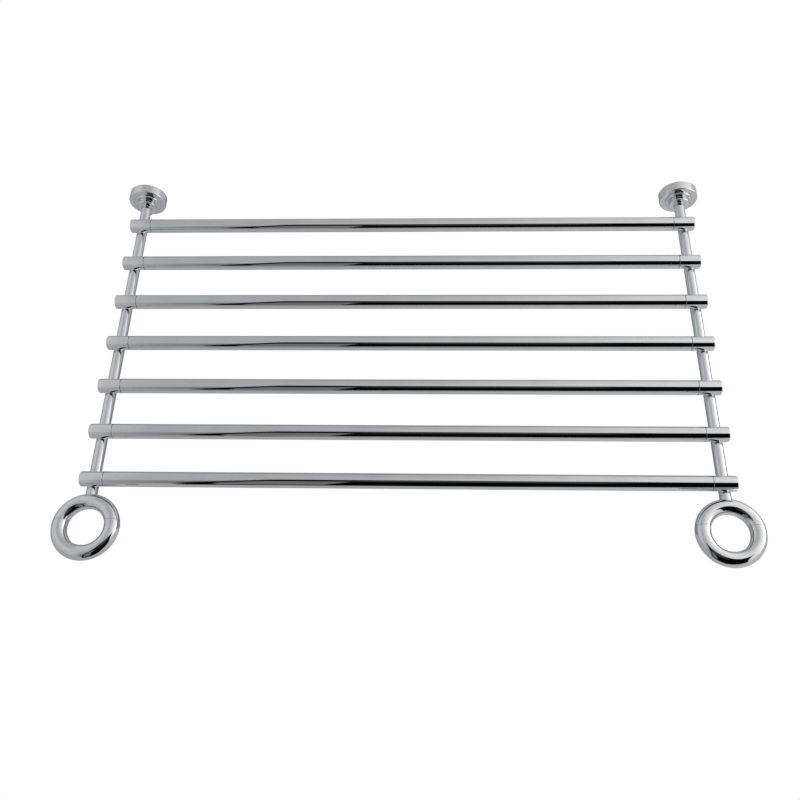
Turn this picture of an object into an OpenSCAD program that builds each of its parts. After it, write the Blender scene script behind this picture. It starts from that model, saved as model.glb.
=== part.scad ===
// Towel rack for the space under a washstand: parallel bars on two side rails,
// held to the wall by two stepped flanges and to the stand's front legs by two
// split rings. The bars sit on the rails in half-round saddles, one countersunk
// screw in each, and grub screws driven from beneath lock everything else.
//
// Millimetres. X runs along the bars, Y points to the wall and Z is up.
// The origin lies on the wall face, midway between the flanges, level with the
// axes of the side rails.

/* [Bars] */
// Number of bars, counted from the wall
bar_count = 7; // [2:1:8]
// Length of a bar, both end fittings included
bar_length = 800; // [500:1:1000]
// Outside diameter of a bar
bar_d = 19; // [18:0.1:22]
// Wall thickness of the bar tube
bar_wall = 1; // [0.8:0.1:1.5]
// Distance between neighbouring bars
bar_pitch = 64.8; // [40:0.1:80]

/* [End fittings] */
// Length of a fitting from its outer face to the seam with the tube
fitting_length = 29; // [26:0.5:40]
// Radius on the edge of the outer face
fitting_edge = 1.2; // [0.3:0.1:2]
// Length of the spigot inside the tube
spigot_length = 16; // [8:1:30]
// Open seam between a fitting and the end of its tube
seam_width = 0.5; // [0:0.1:1]

/* [Side rails] */
// Outside diameter of a side rail
rail_d = 14; // [12:0.1:14.4]
// Wall thickness of a side rail
rail_wall = 2; // [1.8:0.1:3]
// Distance from the end of the bars to the axis of the rail
rail_inset = 12.5; // [11:0.1:16]
// Height of the bar axes above the rail axes
bar_rise = 9.5; // [9:0.1:11]

/* [Wall flanges] */
// Distance from the wall to the axis of the first bar
wall_gap = 62.3; // [50:0.1:90]
// Diameter of the wide step against the wall
base_d = 52.6; // [50:0.1:60]
// Depth of the wide step
base_depth = 13; // [10.2:0.1:18]
// Diameter of the middle step
middle_d = 37.2; // [33:0.1:46]
// Depth of the middle step
middle_depth = 2.6; // [2.6:0.1:12]
// Diameter of the narrow step round the rail
nose_d = 28.8; // [24:0.1:30]
// Depth of the narrow step
nose_depth = 6.6; // [6:0.1:10]
// Diameter of the short collar where the rail comes out
collar_d = 16.4; // [16:0.1:18]
// Depth of the collar
collar_depth = 1.6; // [1.2:0.1:3]
// Radius on the front edge of each step
step_edge = 1.5; // [0.5:0.1:2.2]

/* [Wall plates] */
// Diameter of the plate hidden in each flange
plate_d = 43; // [41:0.5:44]
// Thickness of the plate
plate_thickness = 6.5; // [6:0.5:7.5]
// Distance between the two wall screw holes of a plate
plate_hole_spacing = 26; // [22:0.5:28]
// Diameter of the wall screw holes
plate_hole_d = 5.2; // [4:0.1:5.5]

/* [Leg rings] */
// Outside diameter of a ring
ring_d = 83.7; // [83:0.1:84.4]
// Thickness of the ring's round section
ring_section = 18.9; // [18.6:0.1:19.2]
// Diameter of the bore that closes round the leg
leg_bore = 47; // [46.8:0.1:48]
// Distance from the last bar's axis to the ring's axis
ring_reach = 58.6; // [56:0.1:80]
// How far the seam lies behind the ring's axis
seam_offset = 8; // [6:0.1:9]
// Open gap between the two halves of a ring
seam_gap = 0.3; // [0.1:0.05:0.5]
// Diameter of the dowels in the front half
dowel_d = 5; // [4:0.5:6]
// Length of a dowel, half of it in each half of the ring
dowel_length = 16; // [10:1:18]

/* [Screws] */
// Diameter of every screw's thread
screw_d = 4; // [3.5:0.1:4.4]
// Diameter of the countersunk heads under the rails
head_d = 7; // [6:0.1:7.5]
// Width across the flats of the hexagon sockets
socket_flats = 2; // [1.5:0.1:2.2]

/* [Hidden] */
$fn = 96;
chrome = [0.80, 0.81, 0.83];
steel = [0.42, 0.43, 0.45];

fit = 0.05;                  // radial clearance of a part in its bore
sink = 0.4;                  // how far a screw's head lies under the surface
bite = 1.4;                  // depth of the dimple that a grub screw's point enters
point = 1.2;                 // length of a grub screw's cone point
socket_depth = 1.6;
collar_edge = 0.4;           // radius on the collar's front edge
lead_in = 0.5;               // chamfer where the rail enters the collar
past = 1;                    // how far a cutter runs past the part

rail_r = rail_d / 2;
rail_x = bar_length / 2 - rail_inset;
bar_r = bar_d / 2;
head_face = -sqrt(pow(rail_r, 2) - pow(head_d / 2, 2)) - 0.04;
head_depth = (head_d - screw_d) / 2;
screw_top = bar_rise + 3.5;  // where a bar's screw ends, inside the fitting
tube_bore = bar_d - 2 * bar_wall;

flange_depth = base_depth + middle_depth + nose_depth;
collar_front = flange_depth + collar_depth;
recess_depth = plate_thickness + 0.5;
web = 3;                     // metal between the plate's recess and the rail's socket
rail_back = -(recess_depth + web);
plate_groove_y = -plate_thickness / 2;
flange_screw_y = -(base_depth + middle_depth + nose_depth / 2);

section_r = ring_section / 2;
ring_r = (ring_d - ring_section) / 2;
ring_y = bar_y(bar_count) - ring_reach;
ring_socket = 13;            // depth of the rail's socket in the rear half
rail_front = ring_y + ring_d / 2 - ring_socket;
ring_screw_y = ring_y + ring_r;
seam_y = ring_y + seam_offset;
dowel_x = sqrt(ring_r * ring_r - seam_offset * seam_offset);
dowel_screw_y = seam_y + dowel_length / 4;

sides = ["left", "right"];
function side_sign(side) = side == "left" ? -1 : 1;
function bar_y(i) = -(wall_gap + (i - 1) * bar_pitch);

// A solid of revolution about the Y axis, from a profile drawn as
// [radius, distance in front of the wall].
module turned_on_y(y = 0) translate([0, y, 0]) rotate([90, 0, 0]) rotate_extrude() children();

module bore_on_y(y_back, y_front, r)
    translate([0, y_back, 0]) rotate([90, 0, 0]) cylinder(r = r, h = y_back - y_front);

// Profile of a disc of radius r, from depth a to depth b, its front edge rounded.
module step_profile(r, a, b, edge) {
    translate([0, a]) square([r, b - a - edge]);
    translate([0, a]) square([r - edge, b - a]);
    translate([r - edge, b - edge]) circle(edge);
}

// Grub screw standing on its socket end, its cone point up.
module grub_screw(length) {
    r = screw_d / 2 - fit;
    color(steel) difference() {
        rotate_extrude() polygon([
            [0, 0], [r, 0], [r, length - point], [r - point, length], [0, length]
        ]);
        translate([0, 0, -past])
            cylinder(d = socket_flats / cos(30), h = past + socket_depth, $fn = 6);
    }
}

// Outline of a countersunk screw, head down, grown by gap all round.
module countersunk(gap, top, below = 0) translate([0, 0, head_face]) rotate_extrude() polygon([
    [0, -below], [head_d / 2 + gap, -below], [head_d / 2 + gap, 0],
    [screw_d / 2 + gap, head_depth], [screw_d / 2 + gap, top - head_face], [0, top - head_face]
]);

// Tapped hole from below the part up to height top, with its screw's clearance.
module screw_hole(top, bottom) translate([0, 0, bottom]) cylinder(d = screw_d, h = top - bottom);

module bar_tube(i) {
    half = bar_length / 2 - fitting_length - seam_width;
    color(chrome) translate([-half, bar_y(i), bar_rise]) rotate([0, 90, 0]) difference() {
        cylinder(r = bar_r, h = 2 * half);
        translate([0, 0, -past]) cylinder(d = tube_bore, h = 2 * (half + past));
    }
}

// Turned end of a bar: outer face, saddle for the rail, spigot in the tube.
module end_fitting(side, i) {
    s = side_sign(side);
    color(chrome) difference() {
        translate([s * bar_length / 2, bar_y(i), bar_rise]) rotate([0, -s * 90, 0]) {
            rotate_extrude() {
                translate([0, fitting_length / 2]) mirror([0, 1])
                    step_profile(bar_r, 0, fitting_length / 2, fitting_edge);
                translate([0, fitting_length / 2]) square([bar_r, fitting_length / 2]);
                square([tube_bore / 2 - fit, fitting_length + spigot_length]);
            }
        }
        translate([s * rail_x, bar_y(i), 0]) {
            bore_on_y(bar_d, -bar_d, rail_r + fit);
            screw_hole(screw_top + 1, 0);
        }
    }
}

module side_rail(side) {
    color(chrome) translate([side_sign(side) * rail_x, 0, 0]) difference() {
        bore_on_y(rail_back, rail_front, rail_r);
        bore_on_y(rail_back + past, rail_front - past, rail_r - rail_wall);
        for (i = [1:bar_count]) translate([0, bar_y(i), 0]) countersunk(fit, rail_r + past, past);
        for (y = [flange_screw_y, ring_screw_y])
            translate([0, y, 0]) screw_hole(-rail_r + bite + fit, -rail_d);
    }
}

module flange_cover(side) {
    color(chrome) translate([side_sign(side) * rail_x, 0, 0]) difference() {
        turned_on_y() {
            step_profile(base_d / 2, 0, base_depth, step_edge);
            step_profile(middle_d / 2, base_depth / 2, base_depth + middle_depth, step_edge);
            step_profile(nose_d / 2, base_depth, flange_depth, step_edge);
            step_profile(collar_d / 2, flange_depth / 2, collar_front, collar_edge);
        }
        bore_on_y(past, -recess_depth, plate_d / 2 + fit);
        bore_on_y(rail_back, -collar_front - past, rail_r + fit);
        turned_on_y() polygon([
            [0, collar_front - lead_in], [rail_r + fit, collar_front - lead_in],
            [rail_r + fit + lead_in, collar_front], [rail_r + fit + lead_in, collar_front + past],
            [0, collar_front + past]
        ]);
        translate([0, plate_groove_y, 0]) screw_hole(0, -base_d);
        translate([0, flange_screw_y, 0]) screw_hole(0, -base_d);
    }
}

// Disc screwed to the wall. The flange slips over it and a screw enters its groove.
module wall_plate(side) {
    r = plate_d / 2;
    color(steel) translate([side_sign(side) * rail_x, 0, 0]) difference() {
        bore_on_y(0, -plate_thickness, r);
        turned_on_y(plate_groove_y) difference() {
            translate([r - bite, -bite]) square([2 * bite, 2 * bite]);
            polygon([[0, bite + past], [r - bite, 0], [0, -bite - past]]);
        }
        for (z = [-0.5, 0.5] * plate_hole_spacing) translate([0, 0, z]) {
            bore_on_y(past, -plate_thickness - past, plate_hole_d / 2);
            turned_on_y() polygon([
                [0, plate_thickness - plate_hole_d / 2], [plate_hole_d, plate_thickness + 0.01],
                [0, plate_thickness + 0.01]
            ]);
        }
    }
}

// Whole ring round the leg, with a short straight land inside and a hair-fine one
// outside, where the casting's halves met.
module ring_blank() rotate_extrude() intersection() {
    translate([ring_r, 0]) circle(section_r);
    translate([leg_bore / 2, -section_r]) square([(ring_d - leg_bore) / 2 - 0.01, ring_section]);
}

module dowel_bores(back, front, r)
    for (x = [-dowel_x, dowel_x]) translate([x, 0, 0])
        bore_on_y(seam_offset + back, seam_offset - front, r);

module ring_rear(side) {
    color(chrome) translate([side_sign(side) * rail_x, ring_y, 0]) difference() {
        ring_blank();
        translate([-ring_d, seam_offset + seam_gap / 2 - 2 * ring_d, -ring_d])
            cube(2 * ring_d);
        bore_on_y(ring_d, rail_front - ring_y, rail_r + fit);
        dowel_bores(dowel_length / 2 + past, dowel_length, dowel_d / 2 + fit);
        translate([0, ring_r, 0]) screw_hole(0, -ring_section);
        for (x = [-dowel_x, dowel_x]) translate([x, dowel_screw_y - ring_y, 0])
            screw_hole(0, -ring_section);
    }
}

module ring_front(side) {
    color(chrome) translate([side_sign(side) * rail_x, ring_y, 0]) difference() {
        ring_blank();
        translate([-ring_d, seam_offset - seam_gap / 2, -ring_d]) cube(2 * ring_d);
        // behind its axis the bore runs straight, so that this half comes off the leg
        translate([-leg_bore / 2, 0, -section_r]) cube([leg_bore, ring_d, ring_section]);
        dowel_bores(dowel_length, dowel_length / 2, dowel_d / 2 + fit);
    }
}

// Two plain pins, pressed into the front half and free to slide in the rear half.
module ring_dowels(side) {
    color(steel) translate([side_sign(side) * rail_x, ring_y, 0])
        dowel_bores(dowel_length / 2, dowel_length / 2, dowel_d / 2);
}

// Screws that hold the bars on the rails, driven through the rail from beneath.
module bar_screws() {
    color(steel) for (s = [-1, 1], i = [1:bar_count]) translate([s * rail_x, bar_y(i), 0])
        difference() {
            countersunk(-fit, screw_top);
            translate([0, 0, head_face - past])
                cylinder(d = socket_flats / cos(30), h = past + socket_depth, $fn = 6);
        }
}

// Screws that lock the rails in the flanges.
module flange_screws() {
    bottom = -middle_d / 2 + sink;
    for (s = [-1, 1]) translate([s * rail_x, flange_screw_y, bottom])
        grub_screw(-rail_r + bite - bottom);
}

// Screws that lock the flanges on the wall plates.
module plate_screws() {
    bottom = -base_d / 2 + sink;
    for (s = [-1, 1]) translate([s * rail_x, plate_groove_y, bottom])
        grub_screw(-plate_d / 2 + 0.6 - bottom);
}

// Screws that lock the rails in the rings.
module ring_rail_screws() {
    bottom = -section_r + sink;
    for (s = [-1, 1]) translate([s * rail_x, ring_screw_y, bottom])
        grub_screw(-rail_r + bite - bottom);
}

// Screws that hold the dowels, drawn backed off so that the front half can slide.
module ring_lock_screws() {
    bottom = -section_r + 1;
    for (s = [-1, 1], x = [-dowel_x, dowel_x])
        translate([s * rail_x + x, dowel_screw_y, bottom])
            grub_screw(-dowel_d / 2 - 0.3 - bottom);
}

for (i = [1:bar_count])
    bar_tube(i);
for (side = sides, i = [1:bar_count])
    end_fitting(side, i);
for (side = sides) {
    side_rail(side);
    flange_cover(side);
    wall_plate(side);
    ring_rear(side);
    ring_front(side);
    ring_dowels(side);
}
bar_screws();
flange_screws();
plate_screws();
ring_rail_screws();
ring_lock_screws();
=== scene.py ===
import bpy, math
from mathutils import Matrix, Vector


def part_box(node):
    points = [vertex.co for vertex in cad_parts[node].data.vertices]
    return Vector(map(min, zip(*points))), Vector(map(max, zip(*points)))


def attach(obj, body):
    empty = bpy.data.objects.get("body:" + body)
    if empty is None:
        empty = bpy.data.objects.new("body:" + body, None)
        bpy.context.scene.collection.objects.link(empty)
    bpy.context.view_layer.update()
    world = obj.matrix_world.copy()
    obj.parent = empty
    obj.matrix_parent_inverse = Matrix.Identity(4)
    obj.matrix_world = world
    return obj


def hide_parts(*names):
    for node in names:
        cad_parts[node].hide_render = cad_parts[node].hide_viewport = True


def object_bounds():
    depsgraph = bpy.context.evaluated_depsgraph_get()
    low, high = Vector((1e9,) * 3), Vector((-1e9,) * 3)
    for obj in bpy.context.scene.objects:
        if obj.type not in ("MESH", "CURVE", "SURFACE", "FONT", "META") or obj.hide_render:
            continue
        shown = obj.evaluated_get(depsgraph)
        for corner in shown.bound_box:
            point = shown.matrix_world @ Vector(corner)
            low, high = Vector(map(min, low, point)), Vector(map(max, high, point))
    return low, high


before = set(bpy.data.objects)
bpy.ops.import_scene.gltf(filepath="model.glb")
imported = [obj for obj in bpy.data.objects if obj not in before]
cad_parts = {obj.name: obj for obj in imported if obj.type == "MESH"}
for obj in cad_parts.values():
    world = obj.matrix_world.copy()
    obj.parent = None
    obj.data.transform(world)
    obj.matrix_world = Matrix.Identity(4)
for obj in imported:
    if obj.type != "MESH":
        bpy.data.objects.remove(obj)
cadBox = [list(corner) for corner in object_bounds()]
bpy.ops.object.select_all(action="DESELECT")
mm = 0.001


def hexColour(code):  # sRGB hex to the linear colour that Blender's sockets take
    parts = [int(code[i:i + 2], 16) / 255 for i in (1, 3, 5)]
    return tuple(p / 12.92 if p <= 0.04045 else ((p + 0.055) / 1.055) ** 2.4 for p in parts) + (1,)


def addNode(tree, kind, settings=None, **inputs):  # an input is a value, or an output to link,
    # and is called by its name, or by its number as i0, i1 and so on
    node = tree.nodes.new("ShaderNode" + kind)
    for name, value in (settings or {}).items():
        setattr(node, name, value)
    for name, value in inputs.items():
        socket = node.inputs[int(name[1:])] if name[0] == "i" and name[1:].isdigit() else \
            node.inputs[name.replace("_", " ")]
        if isinstance(value, bpy.types.NodeSocket):
            tree.links.new(value, socket)
        else:
            socket.default_value = value
    return node


# camera
camera = {
    "place": (0.03480, -0.81926, 0.97749),       # metres, in the rack's own frame
    "turn": (26.3433, 1.8990, 1.1804),           # degrees about X, Y and Z
    "lens": 38.02, "sensor": 36, "clipEnd": 30,
}
lens = bpy.data.cameras.new("camera")
lens.lens, lens.sensor_width, lens.clip_end = camera["lens"], camera["sensor"], camera["clipEnd"]
eye = bpy.data.objects.new("camera", lens)
bpy.context.scene.collection.objects.link(eye)
eye.location = camera["place"]
eye.rotation_euler = [math.radians(a) for a in camera["turn"]]
bpy.context.scene.camera = eye
bpy.context.scene.view_settings.view_transform = "Standard"
print("camera set")

# studio: a round light tent with one dark opening in front, and a white floor. In what follows
# side runs from -1 at the rack's left end to 1 at its right, lift is in degrees up from straight
# in front, and a pair of numbers is where something starts and ends
studio = {
    "centre": (0, -0.25, 0), "radius": 1.5, "segments": 96, "rings": 48,     # metres
    "floorDrop": 0.35, "floorWidth": 8.0,
}
cloth = {
    "sky": "#B4B7BA", "ground": "#ADB0B3",                    # the undersides see the ground
    "skyFront": "#C4C5C6", "frontLift": (135.0, 85.0), "frontSide": (0.05, -0.35),
    "skyRight": "#FFFFFF", "rightSide": (-0.1, 0.8), "rightCurve": 1.4,
    "skyLeft": "#CDD0D2", "leftSide": (-0.48, -0.66),
    "groundRight": "#C2C3C4", "groundSide": (-0.2, 0.6),
    "groundBack": "#85898D", "backLift": (-140.0, -95.0), "backFade": 20.0,  # seen along outlines
    "horizon": (-10.0, 75.0), "horizonBehind": (180.0, 165.0),
}
opening = {
    "colour": "#060707", "left": -0.49, "right": 0.71, "sideFade": 0.035, "top": (80.0, 69.0),
    "lean": 0.0028, "leanFrom": 25.0,                         # the left edges lean in as they rise
    "foot": -14.5, "footSlope": 42.0, "footFrom": 0.15, "footFade": (-4.0, 6.0),
    "dusk": "#424342", "duskLift": (42.0, 62.0), "duskSide": (-0.12, 0.35), "duskFade": 0.12,
    "shade": 0.8, "shadeLift": (8.0, 50.0), "shadeLiftFade": 24.0,           # greys the cloth round it
    "shadeSide": (-0.52, 0.6), "shadeSideFade": 0.2,
}
board = {
    "colour": "#747677", "left": -0.43, "right": -0.18, "rightLean": 0.001, "sideFade": 0.015,
    "lift": (4.0, 50.0), "liftFade": 5.0,
}
lamp = {"strength": 2.2, "side": (0.84, 0.93), "lift": (35.0, 65.0)}         # times white


def maths(tree, operation, a, b=0.0, c=0.0):
    return addNode(tree, "Math", {"operation": operation}, i0=a, i1=b, i2=c).outputs[0]


def rise(tree, value, low, high, soft=True):  # 0 below low, 1 above high; low may be the larger one
    kind = "SMOOTHSTEP" if soft else "LINEAR"
    node = addNode(tree, "MapRange", {"interpolation_type": kind}, Value=value, From_Min=low, From_Max=high)
    return node.outputs[0]


def both(tree, a, b):  # only where two fades are both there
    return maths(tree, "MULTIPLY", a, b)


def inside(tree, value, low, high, soft):  # 1 from low to high, each end fading over soft
    up = rise(tree, maths(tree, "SUBTRACT", value, low), -soft / 2, soft / 2)
    down = rise(tree, maths(tree, "SUBTRACT", value, high), soft / 2, -soft / 2)
    return both(tree, up, down)


def blend(tree, amount, a, b):
    a, b = (hexColour(c) if isinstance(c, str) else c for c in (a, b))
    return addNode(tree, "Mix", {"data_type": "RGBA"}, i0=amount, i6=a, i7=b).outputs[2]


def glowMaterial(name, paint):
    material = bpy.data.materials.new(name)
    material.use_nodes = True
    tree = material.node_tree
    tree.nodes.clear()
    glow = addNode(tree, "Emission", Color=paint(tree), Strength=1.0)
    addNode(tree, "OutputMaterial", Surface=glow.outputs[0])
    return material


def paintCloth(tree, side, lift):
    sky = blend(tree, rise(tree, lift, *cloth["frontLift"]), cloth["sky"], cloth["skyFront"])
    sky = blend(tree, rise(tree, side, *cloth["frontSide"]), sky, cloth["sky"])
    towardsRight = rise(tree, side, *cloth["rightSide"], soft=False)
    sky = blend(tree, maths(tree, "POWER", towardsRight, cloth["rightCurve"]), sky, cloth["skyRight"])
    sky = blend(tree, rise(tree, side, *cloth["leftSide"]), sky, cloth["skyLeft"])
    ground = blend(tree, rise(tree, side, *cloth["groundSide"]), cloth["ground"], cloth["groundRight"])
    behind = inside(tree, lift, *cloth["backLift"], cloth["backFade"])
    ground = blend(tree, behind, ground, cloth["groundBack"])
    turn = maths(tree, "ABSOLUTE", lift)
    up = both(tree, rise(tree, lift, *cloth["horizon"]), rise(tree, turn, *cloth["horizonBehind"]))
    return blend(tree, up, ground, sky)


def leaningEdge(tree, lift, edge):
    steep = maths(tree, "MAXIMUM", lift, opening["leanFrom"])
    return maths(tree, "MULTIPLY_ADD", steep, opening["lean"], edge)


def cutOpening(tree, side, lift, tent):  # grey cloth round it, dark within, a soft dusk along its top
    shade = both(tree, inside(tree, lift, *opening["shadeLift"], opening["shadeLiftFade"]),
                 inside(tree, side, *opening["shadeSide"], opening["shadeSideFade"]))
    tent = blend(tree, maths(tree, "MULTIPLY", shade, opening["shade"]), tent, board["colour"])
    right = maths(tree, "MAXIMUM", side, opening["footFrom"])
    foot = maths(tree, "MULTIPLY_ADD", right, opening["footSlope"], opening["foot"])
    across = inside(tree, side, leaningEdge(tree, lift, opening["left"]), opening["right"],
                    opening["sideFade"])
    reach = both(tree, across, rise(tree, maths(tree, "SUBTRACT", lift, foot), *opening["footFade"]))
    dusk = both(tree, rise(tree, lift, *opening["duskLift"]),
                inside(tree, side, *opening["duskSide"], opening["duskFade"]))
    dark = blend(tree, dusk, opening["colour"], opening["dusk"])
    return blend(tree, both(tree, reach, rise(tree, lift, *opening["top"])), tent, dark)


def addBoard(tree, side, lift, seen):  # it leaves a dark line all round itself
    right = maths(tree, "MULTIPLY_ADD", lift, board["rightLean"], board["right"])
    across = inside(tree, side, leaningEdge(tree, lift, board["left"]), right, board["sideFade"])
    standing = both(tree, across, inside(tree, lift, *board["lift"], board["liftFade"]))
    return blend(tree, standing, seen, board["colour"])


def addLamp(tree, side, lift, seen):
    lit = both(tree, rise(tree, side, *lamp["side"]), rise(tree, lift, *lamp["lift"]))
    return blend(tree, lit, seen, (lamp["strength"],) * 3 + (1,))


def paintTent(tree):
    place = addNode(tree, "TexCoord").outputs["Object"]
    way = addNode(tree, "VectorMath", {"operation": "NORMALIZE"}, i0=place)
    way = addNode(tree, "SeparateXYZ", i0=way.outputs[0])
    side = way.outputs[0]
    front = maths(tree, "MULTIPLY", way.outputs[1], -1.0)
    lift = maths(tree, "MULTIPLY", maths(tree, "ARCTAN2", way.outputs[2], front), 180 / math.pi)
    seen = cutOpening(tree, side, lift, paintCloth(tree, side, lift))
    return addLamp(tree, side, lift, addBoard(tree, side, lift, seen))


def makeTent():
    bpy.ops.mesh.primitive_uv_sphere_add(segments=studio["segments"], ring_count=studio["rings"],
                                         radius=studio["radius"], location=studio["centre"])
    tent = bpy.context.object
    tent.name = "lightTent"
    tent.data.materials.append(glowMaterial("tentCloth", paintTent))
    tent.visible_camera = tent.visible_shadow = False


def makeFloor():
    height = cadBox[0][2] - studio["floorDrop"]
    bpy.ops.mesh.primitive_plane_add(size=studio["floorWidth"], location=(0, 0, height))
    floor = bpy.context.object
    floor.name = "floor"
    floor.data.materials.append(glowMaterial("whiteFloor", lambda tree: (1, 1, 1, 1)))
    floor.visible_glossy = floor.visible_diffuse = False


makeTent()
makeFloor()
world = bpy.data.worlds.new("white")
world.use_nodes = True
world.node_tree.nodes["Background"].inputs["Color"].default_value = (1, 1, 1, 1)
bpy.context.scene.world = world
bpy.ops.object.select_all(action="DESELECT")
print("studio set")


# materials; the pairs in noise are the values between which it shows as tint, marks or clouds
noise = {"detail": 3.0, "roughness": 0.6, "tint": (0.35, 0.65), "marks": (0.3, 0.75), "clouds": (0.2, 0.7)}


def marksAlong(tree, grain, length, axis):  # noise drawn out into marks of one width and length
    scale = [1 / (grain * mm)] * 3
    if axis is not None:
        scale[axis] = 1 / (length * mm)
    place = addNode(tree, "TexCoord").outputs["Object"]
    place = addNode(tree, "Mapping", {"vector_type": "POINT"}, Vector=place, Scale=scale)
    return addNode(tree, "TexNoise", Vector=place.outputs[0], Scale=1.0, Detail=noise["detail"],
                   Roughness=noise["roughness"]).outputs[0]


def metalFinish(name, finish):
    material = bpy.data.materials.new(name)
    material.use_nodes = True
    tree = material.node_tree
    shader = tree.nodes["Principled BSDF"]
    shader.inputs["Metallic"].default_value = 1
    marks = marksAlong(tree, finish["grain"], finish["length"], finish["axis"])
    clouds = marksAlong(tree, finish["cloud"], finish["cloud"], None)
    colour = blend(tree, rise(tree, clouds, *noise["tint"]), finish["colour"], finish["tarnish"])
    tree.links.new(colour, shader.inputs["Base Color"])
    low, high = finish["roughness"]
    worn = both(tree, rise(tree, marks, *noise["marks"]), rise(tree, clouds, *noise["clouds"]))
    rough = addNode(tree, "MapRange", Value=worn, To_Min=low, To_Max=high)
    tree.links.new(rough.outputs[0], shader.inputs["Roughness"])
    waves = maths(tree, "MULTIPLY", clouds, finish["wave"])
    height = maths(tree, "MULTIPLY_ADD", marks, finish["cut"], waves)
    bump = addNode(tree, "Bump", Height=height, Distance=mm, Strength=1.0)
    tree.links.new(bump.outputs[0], shader.inputs["Normal"])
    return material


# grain, length and cloud are the width and length of a mark and the size of a soft patch, in mm;
# cut and wave are their heights in mm; axis is the way that the marks run
finishes = {
    # bright nickel-chrome plate on drawn brass tube: mirror clear, faint draw lines lengthwise
    "drawnTubeChrome": {"colour": "#E8E9EA", "tarnish": "#E2E3E5", "roughness": (0.015, 0.05), "axis": 0,
                        "grain": 1.2, "length": 90, "cloud": 45, "cut": 0.0001, "wave": 0.004},
    "drawnRailChrome": {"colour": "#E8E9EA", "tarnish": "#E2E3E5", "roughness": (0.015, 0.05), "axis": 1,
                        "grain": 1.2, "length": 90, "cloud": 45, "cut": 0.0001, "wave": 0.004},
    # the same plate on turned brass: the lathe's rings are buffed out, soft swirls stay
    "turnedBrassChrome": {"colour": "#E8E9EA", "tarnish": "#E0E1E3", "roughness": (0.02, 0.06), "axis": None,
                          "grain": 2.5, "length": 2.5, "cloud": 18, "cut": 0.0003, "wave": 0.003},
    # the same plate on cast brass, buffed by hand: a slow ripple in what it mirrors
    "castBrassChrome": {"colour": "#E8E9EA", "tarnish": "#E0E1E3", "roughness": (0.02, 0.06), "axis": None,
                        "grain": 4, "length": 4, "cloud": 14, "cut": 0.0006, "wave": 0.006},
    # zinc plated steel sheet, brushed before plating: dull blue grey with a short grain
    "brushedZincSteel": {"colour": "#A9AEB4", "tarnish": "#8E9398", "roughness": (0.3, 0.5), "axis": 0,
                         "grain": 0.4, "length": 9, "cloud": 8, "cut": 0.004, "wave": 0.002},
    # stainless steel screws and pins, tumbled: satin and even
    "tumbledStainless": {"colour": "#B9BABC", "tarnish": "#A8A9AB", "roughness": (0.22, 0.36), "axis": None,
                         "grain": 0.5, "length": 0.5, "cloud": 5, "cut": 0.002, "wave": 0.001},
}
finishOf = {
    "bar_tube": "drawnTubeChrome", "side_rail": "drawnRailChrome", "end_fitting": "turnedBrassChrome",
    "flange_cover": "turnedBrassChrome", "ring_rear": "castBrassChrome", "ring_front": "castBrassChrome",
    "wall_plate": "brushedZincSteel",
}
metals = {name: metalFinish(name, finish) for name, finish in finishes.items()}


def dress(piece, kind):  # a kind that finishOf doesn't list is a screw or a dowel
    piece.data.materials.clear()
    piece.data.materials.append(metals[finishOf.get(kind, "tumbledStainless")])


for name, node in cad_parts.items():
    dress(node, next((kind for kind in finishOf if name.startswith(kind)), "screw"))
print("materials set")


# bars: tubes and turned end fittings, with eased edges, and a turned groove behind each fitting's
# shoulder that keeps the seam dark
bar = {
    "wall": 1.0 * mm, "rimEase": 0.3 * mm, "shoulderEase": 0.1 * mm,
    "reliefRadius": 7 * mm, "reliefLength": 0.8 * mm,
    "faceEdge": 1.2 * mm, "faceArc": 8, "spigotLength": 16 * mm, "spigotPlay": 0.05 * mm,
    "spigotEase": 0.8 * mm, "saddlePlay": 0.05 * mm, "screwRadius": 2 * mm, "screwDepth": 14 * mm,
    "steps": 96, "weld": 0.001 * mm, "smoothAngle": 25,
}
barCount = sum(name.startswith("bar_tube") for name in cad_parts)
barBoxes = [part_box(f"bar_tube_{i + 1}") for i in range(barCount)]
barY = [(low[1] + high[1]) / 2 for low, high in barBoxes]


def drawProfile(points):  # one vertex, extruded from point to point, left in edit mode
    bpy.ops.object.select_all(action="DESELECT")
    bpy.ops.mesh.primitive_plane_add(size=mm)        # any size will do, it is merged to one point
    bpy.ops.object.mode_set(mode="EDIT")
    bpy.ops.mesh.select_all(action="SELECT")
    bpy.ops.mesh.merge(type="CENTER")
    bpy.ops.transform.translate(value=points[0])
    for last, point in zip(points, points[1:]):
        bpy.ops.mesh.extrude_vertices_move(TRANSFORM_OT_translate={
            "value": [b - a for a, b in zip(last, point)]})


def spinProfile(points, centre, steps, name):  # turned about an axis along X
    drawProfile(points)
    bpy.ops.mesh.select_all(action="SELECT")
    bpy.ops.mesh.spin(steps=steps, angle=2 * math.pi, center=centre, axis=(1, 0, 0))
    bpy.ops.mesh.select_all(action="SELECT")
    bpy.ops.mesh.remove_doubles(threshold=bar["weld"])
    bpy.ops.mesh.normals_make_consistent(inside=False)
    bpy.ops.object.mode_set(mode="OBJECT")
    piece = bpy.context.object
    piece.name = piece.data.name = name
    return piece


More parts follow.
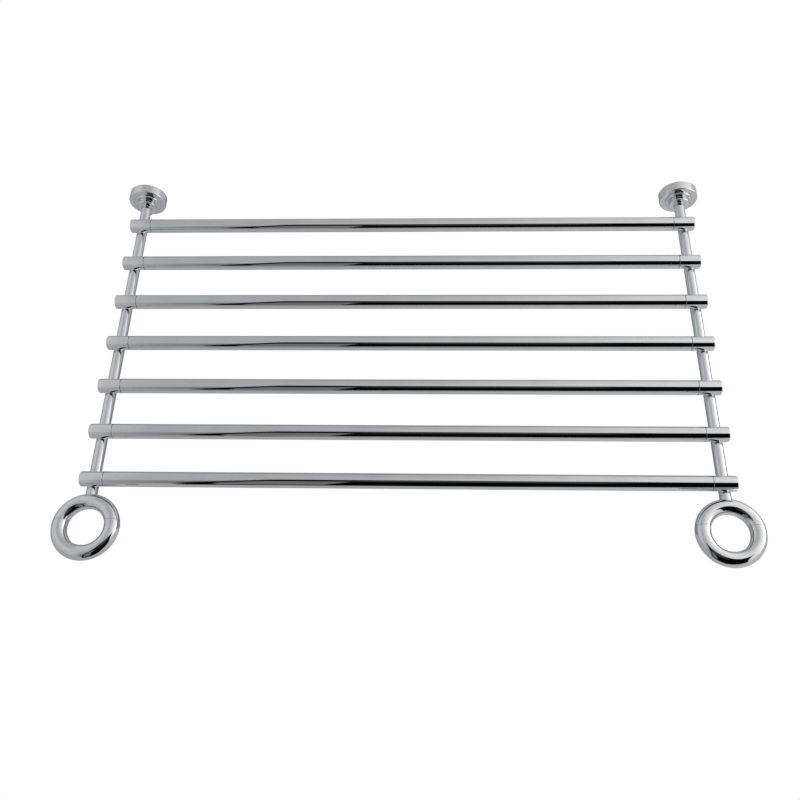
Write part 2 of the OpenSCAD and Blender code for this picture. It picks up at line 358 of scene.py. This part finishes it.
def cutAway(piece, radius, start, end):  # bores a straight round hole from start to end
    start, end = Vector(start), Vector(end)
    bpy.ops.mesh.primitive_cylinder_add(vertices=bar["steps"], radius=radius, depth=(end - start).length,
                                        location=(start + end) / 2,
                                        rotation=(end - start).to_track_quat("Z", "Y").to_euler())
    cutter = bpy.context.object
    bpy.ops.object.select_all(action="DESELECT")
    piece.select_set(True)
    bpy.context.view_layer.objects.active = piece
    cut = piece.modifiers.new("bore", "BOOLEAN")
    cut.operation, cut.solver, cut.object = "DIFFERENCE", "EXACT", cutter
    bpy.ops.object.modifier_apply(modifier=cut.name)
    bpy.data.objects.remove(cutter)


def smoothAndPlace(piece, kind, node):
    bpy.ops.object.select_all(action="DESELECT")
    piece.select_set(True)
    bpy.context.view_layer.objects.active = piece
    bpy.ops.object.shade_smooth_by_angle(angle=math.radians(bar["smoothAngle"]))
    dress(piece, kind)
    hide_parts(node)
    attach(piece, "rack")


def copyAlong(piece, name, shift):
    copy = piece.copy()
    copy.data = piece.data.copy()
    copy.name = copy.data.name = name
    copy.data.transform(Matrix.Translation(shift))
    bpy.context.scene.collection.objects.link(copy)
    return copy


def makeTubes():
    low, high = barBoxes[0]
    axis = (0, barY[0], (low[2] + high[2]) / 2)
    outside = (high[2] - low[2]) / 2
    bore, ease = outside - bar["wall"], bar["rimEase"]
    outline = [(low[0], bore), (low[0], outside - ease), (low[0] + ease, outside),
               (high[0] - ease, outside), (high[0], outside - ease), (high[0], bore), (low[0], bore)]
    tube = spinProfile([(x, axis[1], axis[2] + r) for x, r in outline], axis, bar["steps"], "barTube1")
    tubes = [tube] + [copyAlong(tube, f"barTube{i + 1}", (0, barY[i] - barY[0], 0))
                      for i in range(1, barCount)]
    for i, piece in enumerate(tubes):
        smoothAndPlace(piece, "bar_tube", f"bar_tube_{i + 1}")


def makeFittings(side, sign):
    low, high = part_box(f"end_fitting_{side}_1")
    axis = (0, barY[0], (low[2] + high[2]) / 2)
    outside = (high[2] - low[2]) / 2
    face = low[0] if sign < 0 else high[0]
    length = high[0] - low[0]
    seam, edge, ease = length - bar["spigotLength"], bar["faceEdge"], bar["shoulderEase"]
    relief = seam + bar["reliefLength"]
    spigot = outside - bar["wall"] - bar["spigotPlay"]
    outline = [(0, 0), (0, (outside - edge) / 2)]
    for k in range(bar["faceArc"] + 1):
        angle = math.pi / 2 * k / bar["faceArc"]
        outline.append((edge * (1 - math.cos(angle)), outside - edge * (1 - math.sin(angle))))
    outline += [(seam - ease, outside), (seam, outside - ease), (seam, bar["reliefRadius"]),
                (relief, bar["reliefRadius"]), (relief, spigot), (length - bar["spigotEase"], spigot),
                (length, spigot - bar["spigotEase"]), (length, 0)]
    points = [(face - sign * x, axis[1], axis[2] + r) for x, r in outline]
    name = "endFitting" + side.capitalize()
    fitting = spinProfile(points, axis, bar["steps"], name + "1")
    railLow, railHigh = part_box(f"side_rail_{side}")
    railX, railZ = (railLow[0] + railHigh[0]) / 2, (railLow[2] + railHigh[2]) / 2
    saddle = (railHigh[0] - railLow[0]) / 2 + bar["saddlePlay"]
    past = 2 * outside                               # the saddle's cutter runs well past the fitting
    cutAway(fitting, bar["screwRadius"], (railX, barY[0], railZ), (railX, barY[0], railZ + bar["screwDepth"]))
    cutAway(fitting, saddle, (railX, barY[0] + past, railZ), (railX, barY[0] - past, railZ))
    fittings = [fitting] + [copyAlong(fitting, f"{name}{i + 1}", (0, barY[i] - barY[0], 0))
                            for i in range(1, barCount)]
    for i, piece in enumerate(fittings):
        smoothAndPlace(piece, "end_fitting", f"end_fitting_{side}_{i + 1}")


makeTubes()
print("bar tubes made")
for side, sign in (("left", -1), ("right", 1)):
    makeFittings(side, sign)
print("end fittings made")
